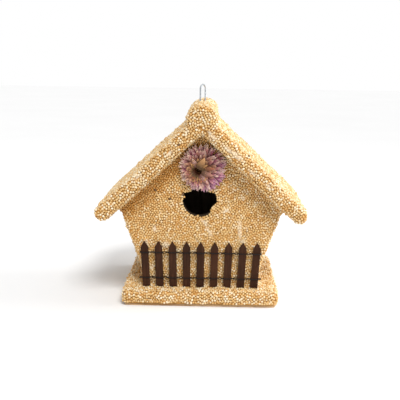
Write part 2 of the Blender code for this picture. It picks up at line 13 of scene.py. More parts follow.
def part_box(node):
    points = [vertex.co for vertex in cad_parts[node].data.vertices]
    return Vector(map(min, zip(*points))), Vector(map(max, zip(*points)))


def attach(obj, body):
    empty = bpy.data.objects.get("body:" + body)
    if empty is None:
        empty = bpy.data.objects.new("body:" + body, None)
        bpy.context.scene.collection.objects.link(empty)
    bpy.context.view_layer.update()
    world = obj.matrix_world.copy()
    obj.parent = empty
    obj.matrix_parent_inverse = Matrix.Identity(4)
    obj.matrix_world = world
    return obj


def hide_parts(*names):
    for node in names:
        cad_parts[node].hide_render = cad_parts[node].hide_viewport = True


bl_info = {
    "name": "Seed-coated Birdhouse",
    "version": (1, 0, 0),
    "blender": (4, 5, 0),
    "location": "3D View > Sidebar > Birdhouse",
    "description": "Builds the millet coat, dried flower, picket fence and finishes of a birdhouse",
    "category": "Add Mesh",
}

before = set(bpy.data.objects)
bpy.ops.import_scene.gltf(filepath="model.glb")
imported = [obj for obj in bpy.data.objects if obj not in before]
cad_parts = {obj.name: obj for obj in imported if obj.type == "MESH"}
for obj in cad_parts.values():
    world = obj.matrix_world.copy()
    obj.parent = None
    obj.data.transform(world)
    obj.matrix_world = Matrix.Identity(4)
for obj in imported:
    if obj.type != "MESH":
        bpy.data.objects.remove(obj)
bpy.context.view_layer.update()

MM = 0.001
HOUSE = "house"
BLACK = (0.0, 0.0, 0.0)
WHITE = (1.0, 1.0, 1.0)

PLACES = ("base", "front", "back", "left_side", "right_side", "left_roof", "right_roof", "ridge")
COATS = tuple(f"{place}_seed_coat" for place in PLACES)
FRONT = COATS.index("front_seed_coat")
BOARDS = (
    "base_board", "front_wall", "back_wall", "left_side_wall", "right_side_wall",
    "left_roof_board", "right_roof_board", "ridge_log",
)

# Entry hole, as bored in the front wall.
HOLE_X = -1.6 * MM
HOLE_Z = 101.6 * MM
HOLE_RADIUS = 16.5 * MM
FRONT_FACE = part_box("front_seed_coat")[0].y
FASCIA_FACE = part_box("left_roof_seed_coat")[0].y
BASE_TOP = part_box("base_seed_coat")[1].z
FENCE_TOP = 67.0 * MM
GABLE_TOP = 163.0 * MM
ROOF_PITCH = math.radians(43.0)

# A grain's ball, and the share of each odd kind of grain.
GRAIN_SIDES = 6
GRAIN_RINGS = 4
GRAIN_FACES = GRAIN_SIDES * GRAIN_RINGS
GOLDEN_SHARE = 0.16
PALE_SHARE = 0.10
DARK_SHARE = 0.001
PROUD_SHARE = 0.06

# How high grains sit over the binder, how far that varies, and what changes it: dried smears, the
# shelter of the fence and standing proud. Away from the front wall the binder also lies a step
# deeper and the grains a step higher.
SEAT = 0.50 * MM
SEAT_SPREAD = 0.28 * MM
SEAT_UNDER_SMEAR = 0.45 * MM
SEAT_BEHIND_FENCE = 0.35 * MM
PROUD_HEIGHT = 0.6 * MM
OUTER_STEP = 0.28 * MM

# How far the binder rises in smears, how deep and how wide to each side the roof's open joint is,
# and how far off the boards the binder's lumps begin, and then take to reach their full height.
SMEAR_HEIGHT = 1.05 * MM
JOINT_DEPTH = 1.1 * MM
JOINT_HALF = 1.15 * MM
WOOD_GAP = 1.2 * MM
WOOD_BLEND = 0.9 * MM

# Stretches of the hole's rim that the seed has run over: (from, to) in degrees anticlockwise from
# the right, and how far it reaches into the hole in millimetres.
RIM_RUNS = ((-48, -14, 3.2), (28, 66, 3.8), (112, 152, 4.0), (163, 174, 2.0), (-101, -92, 1.6))

# Places where binder has covered the seed: x, z, half width and half height in millimetres, and
# turn in degrees.
FRONT_SMEARS = (
    (2.6, 81.0, 4.6, 1.0, -56),
    (8.0, 70.4, 3.4, 1.1, -50),
    (37.8, 72.0, 1.1, 6.6, 2),
    (40.4, 61.0, 1.2, 1.6, 0),
    (-34.3, 57.1, 2.4, 1.7, 0),
    (-53.0, 60.0, 1.3, 1.5, 30),
    (-44.9, 72.6, 1.2, 2.0, 0),
    (-48.0, 33.4, 1.4, 1.0, 10),
    (-33.4, 37.0, 1.1, 1.0, 0),
    (24.0, 92.0, 2.0, 1.0, 20),
    (40.0, 104.0, 1.8, 1.0, -30),
)
FASCIA_SMEARS = (
    (9.0, 165.5, 3.2, 1.4, -43),
    (24.3, 153.4, 4.0, 1.3, -43),
    (32.2, 148.0, 4.6, 1.7, -40),
    (47.2, 131.8, 3.2, 1.1, -43),
    (62.4, 119.8, 2.6, 1.0, -43),
    (-29.5, 149.0, 3.0, 1.0, 43),
    (-59.5, 127.0, 2.6, 1.0, 43),
)
# The joint of the two roof boards, where it shows through the seed: x and z of both ends in
# millimetres.
JOINT_LINE = ((-1.3, 174.0), (6.8, 166.9))


# ---------------------------------------------------------------- node and mesh helpers
class Nodes:
    """Adds nodes to a tree, with their settings, values and links."""

    def __init__(self, tree):
        self.tree = tree

    def feed(self, node, inputs):
        """Give a node's inputs their values or links."""
        for key, value in inputs.items():
            if isinstance(value, bpy.types.NodeSocket):
                self.tree.links.new(value, node.inputs[key])
            else:
                node.inputs[key].default_value = value
        return node

    def add(self, kind, inputs=None, **settings):
        node = self.tree.nodes.new(kind)
        for key, value in settings.items():
            setattr(node, key, value)
        return self.feed(node, inputs or {})

    def make(self, kind, inputs=None, output=0, **settings):
        """One output of a new node."""
        return self.add(kind, inputs, **settings).outputs[output]

    def math(self, operation, *values):
        return self.make("ShaderNodeMath", dict(enumerate(values)), operation=operation)

    def times(self, first, second):
        return self.math("MULTIPLY", first, second)

    def vector(self, *values):
        return self.make("ShaderNodeCombineXYZ", dict(enumerate(values)))

    def mix(self, share, first, second, blend="MIX"):
        values = {0: share, 6: first, 7: second}
        return self.make("ShaderNodeMix", values, 2, data_type="RGBA", blend_type=blend)

    def tint(self, colour, tint, share=1.0):
        return self.mix(share, colour, tint, "MULTIPLY")

    def ramp(self, value, *stops):
        node = self.add("ShaderNodeValToRGB", {0: value})
        stripes = node.color_ramp.elements
        while len(stripes) < len(stops):
            stripes.new(0.5)
        for stripe, (place, colour) in zip(stripes, stops):
            stripe.position = place
            stripe.color = (*colour, 1.0)
        return node.outputs[0]

    def attribute(self, name):
        return self.make("ShaderNodeAttribute", output="Fac", attribute_name=name)

    def stored(self, name, kind):
        """An attribute of the mesh that a geometry tree works on."""
        values = {"Name": name}
        return self.make("GeometryNodeInputNamedAttribute", values, "Attribute", data_type=kind)

    def place(self, scale=(1.0, 1.0, 1.0)):
        where = self.make("ShaderNodeTexCoord", output="Object")
        return self.make("ShaderNodeMapping", {"Vector": where, "Scale": scale})

    def noise(self, vector, scale, detail=3.0, roughness=0.55):
        values = {"Vector": vector, "Scale": scale, "Detail": detail, "Roughness": roughness}
        return self.make("ShaderNodeTexNoise", values)

    def bump(self, height, strength, distance):
        values = {"Height": height, "Strength": strength, "Distance": distance}
        return self.make("ShaderNodeBump", values)

    def spread(self, value, low, high, start=0.0, end=1.0):
        """The value from start to end carried to low to high."""
        return self.make("ShaderNodeMapRange", {0: value, 1: start, 2: end, 3: low, 4: high})


class Look(Nodes):
    """The nodes of one material."""

    def __init__(self, name):
        self.material = bpy.data.materials.new(name)
        self.material.use_nodes = True
        super().__init__(self.material.node_tree)

    def finished(self, colour, roughness, bump=None, gloss=0.5, metal=0.0):
        """The material, once its shader has its colour, roughness, bump and gloss."""
        values = {
            "Base Color": colour,
            "Roughness": roughness,
            "Specular IOR Level": gloss,
            "Metallic": metal,
        }
        if bump:
            values["Normal"] = bump
        self.feed(self.tree.nodes["Principled BSDF"], values)
        return self.material


def scaled(colour, *shares):
    """A colour with its channels scaled, all by one share or each by its own."""
    shares = shares if len(shares) > 1 else shares * 3
    return tuple(min(1.0, value * share) for value, share in zip(colour, shares))


def finish_nodes(look, *names):
    """Give packed parts that stay as they are their finish."""
    for name in names:
        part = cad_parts[name]
        if not part.material_slots:
            part.data.materials.append(look)
        for slot in part.material_slots:
            slot.material = look


def add_object(name, data):
    """A new object in the scene."""
    made = bpy.data.objects.new(name, data)
    bpy.context.scene.collection.objects.link(made)
    return made


def add_piece(name, mesh, look, slot, *stands_for):
    """Make a finished mesh a piece of the house, in place of some packed parts."""
    made = add_object(name, mesh)
    if not mesh.materials:
        mesh.materials.append(look)
    for i in range(len(mesh.materials)):
        mesh.materials[i] = look
    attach(made, HOUSE)
    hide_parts(*stands_for)


def mesh_from(shape, name):
    """A mesh made from a shape, which is used up."""
    mesh = bpy.data.meshes.new(name)
    shape.to_mesh(mesh)
    shape.free()
    return mesh


def evaluated(mesh, *modifiers):
    """The mesh after some modifiers, each a (kind, settings) pair, or a node tree and its values."""
    made = add_object("workpiece", mesh)
    for kind, settings in modifiers:
        if isinstance(kind, str):
            modifier = made.modifiers.new(kind, kind)
            for key, value in settings.items():
                setattr(modifier, key, value)
            continue
        modifier = made.modifiers.new(kind.name, "NODES")
        modifier.node_group = kind
        for item in kind.interface.items_tree:
            if item.name in settings and item.in_out == "INPUT":
                modifier[item.identifier] = settings[item.name]
    depsgraph = bpy.context.evaluated_depsgraph_get()
    result = bpy.data.meshes.new_from_object(
        made.evaluated_get(depsgraph), preserve_all_data_layers=True, depsgraph=depsgraph
    )
    bpy.data.objects.remove(made)
    return result


def read(items, key, width=1, kind=np.float64):
    """One property of every item of a mesh, as an array."""
    values = np.empty(len(items) * width, kind)
    items.foreach_get(key, values)
    return values.reshape(-1, width) if width > 1 else values


def set_attribute(mesh, name, values, kind="FLOAT", domain="POINT"):
    """Store an array as an attribute of a mesh."""
    key = "vector" if kind == "FLOAT_VECTOR" else "value"
    mesh.attributes.new(name, kind, domain).data.foreach_set(key, np.ravel(values))


def surface_tree(names):
    """A search tree over some packed parts, and which part each of its faces belongs to."""
    corners, faces, owners = [], [], []
    for number, name in enumerate(names):
        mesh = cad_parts[name].data
        first = len(corners)
        corners += [vertex.co.copy() for vertex in mesh.vertices]
        faces += [[first + index for index in face.vertices] for face in mesh.polygons]
        owners += [number] * len(mesh.polygons)
    return BVHTree.FromPolygons(corners, faces), owners


# ---------------------------------------------------------------- settings
def number_setting(name, description, default, **kind):
    """A number that a user may change."""
    return bpy.props.FloatProperty(name=name, description=description, default=default, **kind)


def size_setting(name, description, millimetres):
    """A size that a user may change."""
    return number_setting(name, description, millimetres * MM, unit="LENGTH")


def angle_setting(name, description, degrees):
    """An angle that a user may change."""
    return number_setting(name, description, math.radians(degrees), subtype="ANGLE")


def count_setting(name, description, default):
    """A whole number that a user may change."""
    return bpy.props.IntProperty(name=name, description=description, default=default)


def colour_setting(name, description, *default):
    """A colour that a user may change."""
    return bpy.props.FloatVectorProperty(
        name=name, description=description, default=default, subtype="COLOR", size=3
    )


class SeedCoatSettings(bpy.types.PropertyGroup):
    """Sizes and colours of the millet coat."""

    grain_width: size_setting("Grain width", "Width of a millet grain", 2.34)
    grain_length: number_setting("Grain length", "Length of a grain for its width", 1.12)
    grain_spread: number_setting("Size spread", "How much grains differ in size", 0.11)
    spacing: size_setting("Closest spacing", "Least distance between two grains", 1.94)
    reach: size_setting("Packing reach", "Distance at which grains push each other apart", 3.0)
    rounds: count_setting("Packing rounds", "Times the grains are shaken into place", 5)
    trials: number_setting("Trial density", "Grains tried for each square metre", 2.2e6)
    binder_depth: size_setting("Binder depth", "Binder's surface below the grains' tops", 1.28)
    binder_step: size_setting("Binder mesh size", "Edge length of the binder's mesh", 2.0)
    unevenness: size_setting("Unevenness", "Height of the coat's lumps", 0.60)
    random_seed: count_setting("Random seed", "Changes where the grains lie", 7)
    pale: colour_setting("Pale grain", "Colour of the palest grains", 0.93, 0.80, 0.58)
    cream: colour_setting("Cream grain", "Colour of most grains", 0.79, 0.55, 0.245)
    golden: colour_setting("Golden grain", "Colour of the deepest grains", 0.62, 0.31, 0.065)
    binder: colour_setting("Binder", "Colour of the glue between the grains", 0.66, 0.33, 0.075)
    smear: colour_setting("Dried smear", "Colour of glue dried over the grains", 0.86, 0.72, 0.52)


class FlowerSettings(bpy.types.PropertyGroup):
    """Sizes and colours of the dried flower."""

    bract_thickness: size_setting("Bract thickness", "Thickness of a papery bract", 0.16)
    random_seed: count_setting("Random seed", "Changes how the bracts lie", 11)
    mauve: colour_setting("Mauve", "Colour of the outer bracts", 0.43, 0.13, 0.185)
    tips: colour_setting("Pale tips", "Colour of the bract tips", 0.90, 0.70, 0.57)
    straw: colour_setting("Straw", "Colour of the folded middle bracts", 0.50, 0.28, 0.115)
    heart: colour_setting("Seed head", "Colour of the open middle", 0.018, 0.007, 0.004)


class FinishSettings(bpy.types.PropertyGroup):
    """Colours of the wood, the stain and the metals."""

    pine: colour_setting("Pine", "Colour of the bare base board", 0.66, 0.45, 0.25)
    # Painted shade: the boards other than the base get a dark pine colour, so the inside of the
    # house looks dark through the hole.
    shaded_pine: colour_setting("Shade-darkened pine", "Colour of the other boards", 0.17, 0.115, 0.07)
    stain: colour_setting("Stain", "Colour of the fence pickets", 0.046, 0.0175, 0.0075)
    wire: colour_setting("Fence wire", "Colour of the fence wire", 0.008, 0.007, 0.007)
    zinc: colour_setting("Zinc", "Colour of galvanised wire and sheet", 0.60, 0.64, 0.68)
    steel: colour_setting("Steel", "Colour of the screw and the brads", 0.55, 0.54, 0.52)


class StageSettings(bpy.types.PropertyGroup):
    """Camera, lights and floor."""

    eye: bpy.props.FloatVectorProperty(
        name="Camera place", description="Where the camera stands", subtype="TRANSLATION", size=3,
        default=(13.3 * MM, -784.0 * MM, 234.0 * MM),
    )
    turn: angle_setting("Camera turn", "Turn to the left of straight ahead", 1.15)
    dip: angle_setting("Camera dip", "Tilt below level", 10.29)
    lean: angle_setting("Camera lean", "Lean about the line of sight", 0.78)
    lens: number_setting("Lens", "Focal length in millimetres", 68.94)
    key_strength: number_setting("Key light", "Strength of the broad key light", 2.08)
    key_spread: angle_setting("Key softness", "Angle the key light spreads over", 24.0)
    side_power: number_setting("Side light", "Power of the light on the right", 6.0, unit="POWER")
    sky: number_setting("Room light", "Strength of the even light all round", 0.60)
    floor: colour_setting("Floor", "Colour of the floor", 0.885, 0.885, 0.885)


# ---------------------------------------------------------------- materials
def millet_look(settings):
    """Glossy millet grains: each has its own tone, with a paler end and fine mottling."""
    look = Look("millet_grain")
    colour = look.ramp(
        look.attribute("tone"),
        (0.0, (0.045, 0.025, 0.012)),
        (0.012, (0.30, 0.14, 0.045)),
        (0.05, settings.golden),
        (0.55, settings.cream),
        (1.0, settings.pale),
    )
    where = look.place()
    mottle = look.noise(where, 620.0, 2.0)
    dusk = look.ramp(mottle, (0.30, (0.90, 0.82, 0.68)), (0.62, WHITE))
    colour = look.tint(colour, dusk)
    germ = look.times(look.attribute("germ"), 0.3)
    colour = look.mix(germ, colour, (0.93, 0.80, 0.55, 1.0))
    drowned = look.times(look.attribute("smear"), 0.6)
    colour = look.mix(drowned, colour, (*settings.smear, 1.0))
    bump = look.bump(look.noise(where, 2600.0, 2.0), 0.25, 0.00012)
    return look.finished(colour, look.spread(mottle, 0.20, 0.38), bump)


def binder_look(settings):
    """Amber glue between the grains, milky where it has dried over them."""
    look = Look("seed_binder")
    where = look.place()
    patch = look.noise(where, 240.0, 4.0)
    crumbs = look.make("ShaderNodeTexVoronoi", {"Vector": where, "Scale": 520.0})
    amber = look.ramp(patch, (0.32, scaled(settings.binder, 0.60)), (0.66, settings.binder))
    milky = look.ramp(crumbs, (0.05, settings.smear), (0.75, scaled(settings.smear, 0.80)))
    smear = look.attribute("smear")
    bump = look.bump(look.math("ADD", look.times(crumbs, 0.8), patch), 0.6, 0.0005)
    gloss = look.spread(smear, 0.15, 0.5)
    colour = look.mix(smear, amber, milky)
    return look.finished(colour, look.spread(patch, 0.30, 0.52), bump, gloss)


def pine_look(pine, name, along):
    """Sawn softwood with its rings running along one axis."""
    look = Look(name)
    stretch = [30.0, 30.0, 30.0]
    stretch["XYZ".index(along)] = 3.0
    where = look.place(stretch)
    rings = look.make(
        "ShaderNodeTexWave",
        {"Vector": where, "Scale": 1.7, "Distortion": 5.5, "Detail": 3.0, "Detail Scale": 1.4},
        1,
        bands_direction="DIAGONAL",
    )
    colour = look.ramp(rings, (0.10, scaled(pine, 0.66, 0.56, 0.42)), (0.46, pine))
    fibre = look.noise(look.place([value * 14.0 for value in stretch]), 1.0, 4.0, 0.7)
    shade = look.ramp(fibre, (0.32, (0.72, 0.68, 0.62)), (0.58, WHITE))
    colour = look.tint(colour, shade, 0.75)
    warp = look.noise(where, 1.6)
    tint = look.ramp(warp, (0.3, (1.0, 0.94, 0.84)), (0.7, (0.92, 0.90, 0.88)))
    colour = look.tint(colour, tint)
    return look.finished(colour, look.spread(fibre, 0.74, 0.52), look.bump(fibre, 0.35, 0.0003))


def stain_look(settings):
    """Dark brown stain over thin wood, with the grain showing through and rubbed patches."""
    look = Look("stained_picket")
    fibre = look.noise(look.place((1700.0, 1700.0, 60.0)), 1.0, 4.0, 0.65)
    patch = look.noise(look.place((90.0, 90.0, 45.0)), 1.0)
    light = tuple(value * 1.75 + 0.006 for value in settings.stain)
    dark = scaled(settings.stain, 0.62)
    colour = look.ramp(fibre, (0.28, dark), (0.55, settings.stain), (0.80, light))
    worn = look.ramp(patch, (0.35, (0.80, 0.80, 0.80)), (0.70, (1.25, 1.18, 1.12)))
    colour = look.tint(colour, worn)
    bump = look.bump(fibre, 0.5, 0.00025)
    return look.finished(colour, look.spread(fibre, 0.72, 0.50), bump, 0.12)


def metal_look(name, colour, low, high, scale, spangle):
    """Bare metal with crystal spangle or fine scratches."""
    look = Look(name)
    where = look.place()
    crystals = look.make("ShaderNodeTexVoronoi", {"Vector": where, "Scale": scale}, "Color")
    grey = look.make("ShaderNodeSeparateColor", {0: crystals})
    blend = look.math("ADD", look.times(grey, spangle), look.noise(where, scale * 0.6))
    tint = look.ramp(blend, (0.35, scaled(colour, 0.62)), (0.95, colour))
    scratch = look.noise(look.place((260.0, 3200.0, 3200.0)), 1.0, 2.0)
    bump = look.bump(scratch, 0.15, 0.0001)
    return look.finished(tint, look.spread(blend, low, high), bump, metal=1.0)


def wire_look(settings):
    """Black annealed wire with a dull oxide skin."""
    look = Look("black_wire")
    scale = look.noise(look.place(), 900.0)
    rust = scaled(settings.wire, 2.6, 1.9, 1.6)
    colour = look.ramp(scale, (0.4, settings.wire), (0.75, rust))
    bump = look.bump(scale, 0.3, 0.0001)
    return look.finished(colour, look.spread(scale, 0.36, 0.62), bump, 0.15, 0.1)


def bract_look(settings):
    """Papery bracts: mauve with pale tips outside, straw coloured towards the middle."""
    look = Look("dried_bract")
    mauve, tips, straw = settings.mauve, settings.tips, settings.straw
    along, tone, inner = (look.attribute(name) for name in ("along", "tone", "inner"))
    where = look.place()
    # Darker towards the root: partly the bract's own colour, partly painted shade where the bracts
    # overlap.
    dull = scaled(mauve, 0.34, 0.24, 0.16)
    outer = look.ramp(along, (0.35, dull), (0.74, mauve), (0.98, tips))
    # Towards the flower's lower right the bracts turn violet.
    x, _, z = look.add("ShaderNodeSeparateXYZ", {0: where}).outputs
    lower = look.spread(look.math("SUBTRACT", x, z), 0.0, 1.0, -0.135, -0.105)
    lower = look.times(lower, look.times(along, 0.75))
    outer = look.mix(lower, outer, (*scaled(mauve, 1.15, 1.25, 2.2), 1.0))
    pick = look.ramp(tone, (0.45, BLACK), (0.90, WHITE))
    rose = look.mix(look.times(pick, along), outer, (*tips, 1.0))
    # The folded bracts also darken towards the root, partly as painted shade.
    brown = scaled(straw, 0.22)
    warm = look.ramp(along, (0.15, brown), (0.65, straw), (0.97, scaled(straw, 1.45)))
    russet = scaled(straw, 0.80, 0.48, 0.62)
    deep = look.ramp(along, (0.20, brown), (0.80, russet), (1.0, straw))
    folded = look.mix(look.ramp(tone, (0.4, BLACK), (0.6, WHITE)), warm, deep)
    fibre = look.noise(where, 1500.0, 3.0, 0.65)
    veins = look.ramp(fibre, (0.34, (0.55, 0.44, 0.40)), (0.60, WHITE))
    colour = look.tint(look.mix(inner, rose, folded), veins, 0.8)
    bump = look.bump(fibre, 0.35, 0.0002)
    return look.finished(colour, look.spread(fibre, 0.62, 0.42), bump, 0.2)


def heart_look(settings):
    """Dark florets in the middle of the flower, with straw coloured tips."""
    look = Look("seed_head")
    straw = (0.09, 0.035, 0.012)
    colour = look.ramp(look.attribute("along"), (0.45, settings.heart), (1.0, straw))
    fleck = look.noise(look.place(), 1300.0)
    shade = look.ramp(fleck, (0.3, (0.6, 0.6, 0.6)), (0.65, (1.1, 1.05, 1.0)))
    colour = look.tint(colour, shade)
    return look.finished(colour, 1.0, look.bump(fleck, 0.4, 0.0003), 0.0)


def glue_look():
    """Clear glue that has yellowed a little and holds dust."""
    look = Look("clear_glue")
    cloud = look.noise(look.place(), 300.0)
    colour = look.ramp(cloud, (0.3, (0.20, 0.12, 0.05)), (0.7, (0.34, 0.23, 0.11)))
    return look.finished(colour, look.spread(cloud, 0.12, 0.32), look.bump(cloud, 0.4, 0.0004))


def floor_look(settings):
    """Plain pale floor."""
    look = Look("pale_floor")
    cloud = look.noise(look.place(), 3.0, 2.0)
    colour = look.ramp(cloud, (0.3, settings.floor), (0.7, scaled(settings.floor, 1.02)))
    return look.finished(colour, 0.9, gloss=0.1)


# ---------------------------------------------------------------- seed coat
def rim_run(start, end, reach):
    """Seed that has run over part of the hole's rim, as a low block with a ragged edge."""
    shape = bmesh.new()
    steps = max(3, int((end - start) / 5))
    rows = []
    for depth in (FRONT_FACE, FRONT_FACE + 2.8 * MM):
        inner, outer = [], []
        for i in range(steps + 1):
            share = i / steps
            turn = math.radians(start + (end - start) * share)
            bulge = math.sin(math.pi * share) ** 0.5
            radius = HOLE_RADIUS + 0.8 * MM - (reach * MM + 0.8 * MM) * bulge
            for ring, size in ((inner, radius), (outer, HOLE_RADIUS + 3.0 * MM)):
                spot = (HOLE_X + size * math.cos(turn), depth, HOLE_Z + size * math.sin(turn))
                ring.append(shape.verts.new(spot))
        rows.append(inner + outer[::-1])
    front, back = rows
    count = len(front)
    shape.faces.new(front)
    shape.faces.new(back[::-1])
    for i in range(count):
        j = (i + 1) % count
        shape.faces.new((front[j], front[i], back[i], back[j]))
    bmesh.ops.recalc_face_normals(shape, faces=shape.faces)
    return shape


def joined_coats():
    """All the seed coats as one mesh, with the runs at the hole's rim."""
    whole = bmesh.new()
    for name in COATS:
        whole.from_mesh(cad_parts[name].data)
    bmesh.ops.remove_doubles(whole, verts=whole.verts, dist=0.001 * MM)
    for run in RIM_RUNS:
        holder = mesh_from(rim_run(*run), "run")
        whole.from_mesh(holder)
        bpy.data.meshes.remove(holder)
    return mesh_from(whole, "coats")


def run_reach(degrees):
    """How far the seed runs over the hole's rim in one direction, in millimetres."""
    for start, end, reach in RIM_RUNS:
        turn = degrees if start >= 0 or degrees < 180 else degrees - 360
        if start < turn < end:
            return reach * math.sin(math.pi * (turn - start) / (end - start)) ** 0.5
    return 0.0


def rim_grains(settings, rng):
    """Grains set round the rim of the hole, reaching in where the seed has run over it."""
    spots, directions = [], []
    count = int(math.tau * HOLE_RADIUS / (settings.grain_width * 0.98))
    step = settings.grain_width * 0.9
    for i in range(count):
        degrees = 360.0 * (i + rng.uniform(-0.2, 0.2)) / count % 360.0
        reach = run_reach(degrees) * MM * rng.uniform(0.8, 1.1)
        turn = math.radians(degrees)
        inward = np.array((-math.cos(turn), 0.0, -math.sin(turn)))
        first = HOLE_RADIUS + 0.75 * MM - reach
        rows = 1 + round((HOLE_RADIUS + 2.0 * MM - first) / step)
        # One grain lines the bore, and rows of them go out from the edge over the wall's face.
        places = [(first + 0.2 * MM, 1.9 * MM, 1.0)]
        for row in range(rows):
            depth = (0.75 - 0.25 * min(row, 2)) * MM
            places.append((first + row * step, depth, 0.6 / (1 + row)))
        for radius, depth, tip in places:
            radius += rng.uniform(-0.25, 0.25) * MM
            hub = np.array((HOLE_X, FRONT_FACE + depth + rng.uniform(-0.2, 0.3) * MM, HOLE_Z))
            spots.append(hub - inward * radius)
            direction = inward * tip + np.array((0.0, tip - 1.0, 0.0))
            directions.append(direction / np.linalg.norm(direction))
    return np.array(spots), np.array(directions)


def smoothed(points, edges, rounds, strength):
    """Points pulled towards the middle of their neighbours."""
    count = np.bincount(edges.ravel(), minlength=len(points))[:, None]
    for _ in range(rounds):
        total = np.zeros_like(points)
        np.add.at(total, edges[:, 0], points[edges[:, 1]])
        np.add.at(total, edges[:, 1], points[edges[:, 0]])
        points = points + strength * (total / count - points)
    return points


def lumps(points, size, seed):
    """Smooth noise from -1 to 1 at each point, with features of a given size."""
    shift = Vector((seed * 3.7, seed * 1.3, seed * 5.1))
    return np.array([noise.noise(Vector(point) / size + shift) for point in points])


def smear_at(points):
    """How far binder covers the seed at each point, from 0 to 1."""
    amount = np.zeros(len(points))
    ragged = 1.0 + 0.45 * lumps(points, 2.4 * MM, 3.0)
    for smears, face in ((FRONT_SMEARS, FRONT_FACE), (FASCIA_SMEARS, FASCIA_FACE)):
        near = np.abs(points[:, 1] - face) < 5.0 * MM
        for x, z, half_wide, half_high, turn in smears:
            angle = math.radians(turn)
            east = points[:, 0] - x * MM
            north = points[:, 2] - z * MM
            along = (east * math.cos(angle) + north * math.sin(angle)) / (half_wide * MM)
            across = (north * math.cos(angle) - east * math.sin(angle)) / (half_high * MM)
            reach = np.hypot(along, across) * ragged
            amount = np.maximum(amount, near * np.clip(2.0 - reach, 0.0, 1.0))
    return amount


def build_binder(settings):
    """The binder's uneven surface, with where it takes seed and where it has smeared."""
    mesh = evaluated(
        joined_coats(), ("REMESH", {"mode": "VOXEL", "voxel_size": settings.binder_step})
    )
    points = read(mesh.vertices, "co", 3)
    edges = read(mesh.edges, "vertices", 2, np.int32)
    points = smoothed(points, edges, 6, 0.5)
    mesh.vertices.foreach_set("co", points.ravel())
    mesh.update()
    normals = read(mesh.vertices, "normal", 3)

    wood, _ = surface_tree(BOARDS)
    outward = np.zeros(len(points))
    off_wood = np.zeros(len(points))
    for i, point in enumerate(points):
        spot, _, _, off_wood[i] = wood.find_nearest(Vector(point))
        outward[i] = np.dot(normals[i], point - np.array(spot)) / max(off_wood[i], 0.001 * MM)
    # 1 on the coat's outer face, 0 on the faces that lie against or look at the boards.
    outer = np.clip((off_wood - WOOD_GAP) / WOOD_BLEND, 0.0, 1.0)
    outer *= np.clip(outward * 2.0, 0.0, 1.0)

    smear = smear_at(points)
    swell = lumps(points, 17.0 * MM, 1.0) * 0.5 + lumps(points, 5.0 * MM, 2.0) * 0.7
    # Faces that look up are the most uneven.
    upward = 1.0 + 1.7 * np.clip(normals[:, 2] * 2.0, 0.0, 1.0)
    away = np.abs(points[:, 1] - FRONT_FACE) > 3.5 * MM
    lift = settings.unevenness * swell * upward - (settings.binder_depth + OUTER_STEP * away)
    lift += SMEAR_HEIGHT * smear - JOINT_DEPTH * in_joint(points)
    points = points + normals * (outer * lift)[:, None]
    mesh.vertices.foreach_set("co", points.ravel())
    set_attribute(mesh, "smear", smear)

    starts = read(mesh.polygons, "loop_start", 1, np.int32)
    corners = read(mesh.loops, "vertex_index", 1, np.int32)
    whole = np.logical_and.reduceat((outer > 0.35)[corners], starts)
    facing = read(mesh.polygons, "normal", 3)
    middle = read(mesh.polygons, "center", 3)
    # The base's underside stays bare, since the house stands on it.
    under_edge = (facing[:, 2] < -0.6) & (middle[:, 2] < 1.6 * MM)
    set_attribute(mesh, "seeded", whole & ~under_edge, "BOOLEAN", "FACE")
    mesh.update()
    return mesh


def new_tree(name, sockets):
    """A geometry tree with named inputs, its node helper and what its inputs give."""
    tree = bpy.data.node_groups.new(name, "GeometryNodeTree")
    for socket, kind in {"Geometry": "Geometry", **sockets}.items():
        tree.interface.new_socket(socket, in_out="INPUT", socket_type="NodeSocket" + kind)
    tree.interface.new_socket("Geometry", in_out="OUTPUT", socket_type="NodeSocketGeometry")
    nodes = Nodes(tree)
    return tree, nodes, nodes.add("NodeGroupInput").outputs


def scatter_tree():
    """Geometry Nodes: points over the seeded faces, no two closer than a grain allows."""
    sockets = {"Closest Spacing": "Float", "Trial Density": "Float", "Seed": "Int"}
    tree, nodes, given = new_tree("Seed Scatter", sockets)
    # The seeded faces are parted first, so that points on the rest don't crowd out theirs.
    parts = {0: given["Geometry"], 1: nodes.stored("seeded", "BOOLEAN")}
    points = nodes.make(
        "GeometryNodeDistributePointsOnFaces",
        {
            "Mesh": nodes.make("GeometryNodeSeparateGeometry", parts, domain="FACE"),
            "Distance Min": given["Closest Spacing"],
            "Density Max": given["Trial Density"],
            "Seed": given["Seed"],
        },
        distribute_method="POISSON",
    )
    nodes.add("NodeGroupOutput", {0: nodes.make("GeometryNodePointsToVertices", {0: points})})
    return tree


